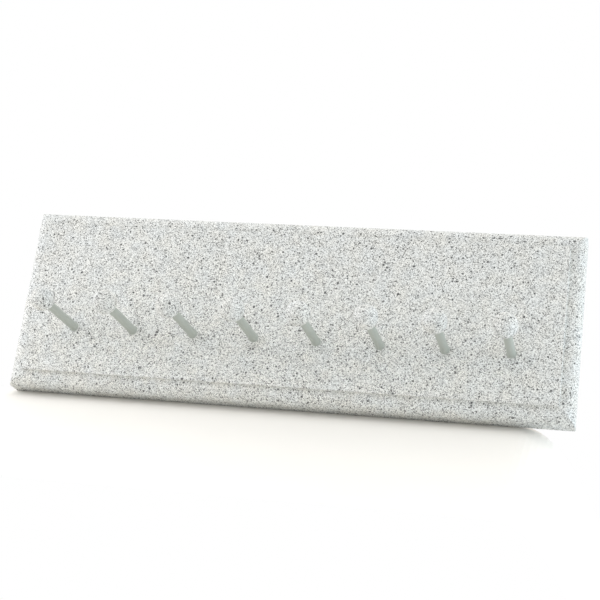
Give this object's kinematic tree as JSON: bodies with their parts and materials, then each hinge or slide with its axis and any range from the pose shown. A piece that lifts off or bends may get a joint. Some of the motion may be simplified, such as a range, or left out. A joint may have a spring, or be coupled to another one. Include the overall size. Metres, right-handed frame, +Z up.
{
  "type": "wall peg rack",
  "caption": "Wall peg rack: a moulded board with a row of straight ball-ended pegs, in a granite-fleck finish, hung from keyhole plates in its back.",
  "frame": {"origin": "the middle of the board's back face, which lies against the wall", "axes": "+X along the board to the right as seen from the front, +Z up as the rack hangs, +Y into the wall, so the pegs point along -Y"},
  "size_m": [0.4572, 0.1035, 0.1524],
  "materials": {
    "granite_fleck_finish": "wood sprayed with a matt granite-fleck stone texture in white, greys and black",
    "grey_green_paint": "wood dowel in matt grey-green paint",
    "zinc_plated_steel": "zinc plated, satin",
    "screw_steel": "zinc plated, bright"
  },
  "bodies": {
    "root": {"board": "granite_fleck_finish", "peg_shaft_1": "grey_green_paint", "peg_shaft_2": "grey_green_paint", "peg_shaft_3": "grey_green_paint", "peg_shaft_4": "grey_green_paint", "peg_shaft_5": "grey_green_paint", "peg_shaft_6": "grey_green_paint", "peg_shaft_7": "grey_green_paint", "peg_shaft_8": "grey_green_paint", "knob_1": "granite_fleck_finish", "knob_2": "granite_fleck_finish", "knob_3": "granite_fleck_finish", "knob_4": "granite_fleck_finish", "knob_5": "granite_fleck_finish", "knob_6": "granite_fleck_finish", "knob_7": "granite_fleck_finish", "knob_8": "granite_fleck_finish", "hanger_plate_left": "zinc_plated_steel", "hanger_plate_right": "zinc_plated_steel", "hanger_screw_left_upper": "screw_steel", "hanger_screw_left_lower": "screw_steel", "hanger_screw_right_upper": "screw_steel", "hanger_screw_right_lower": "screw_steel"}
  },
  "joints": []
}
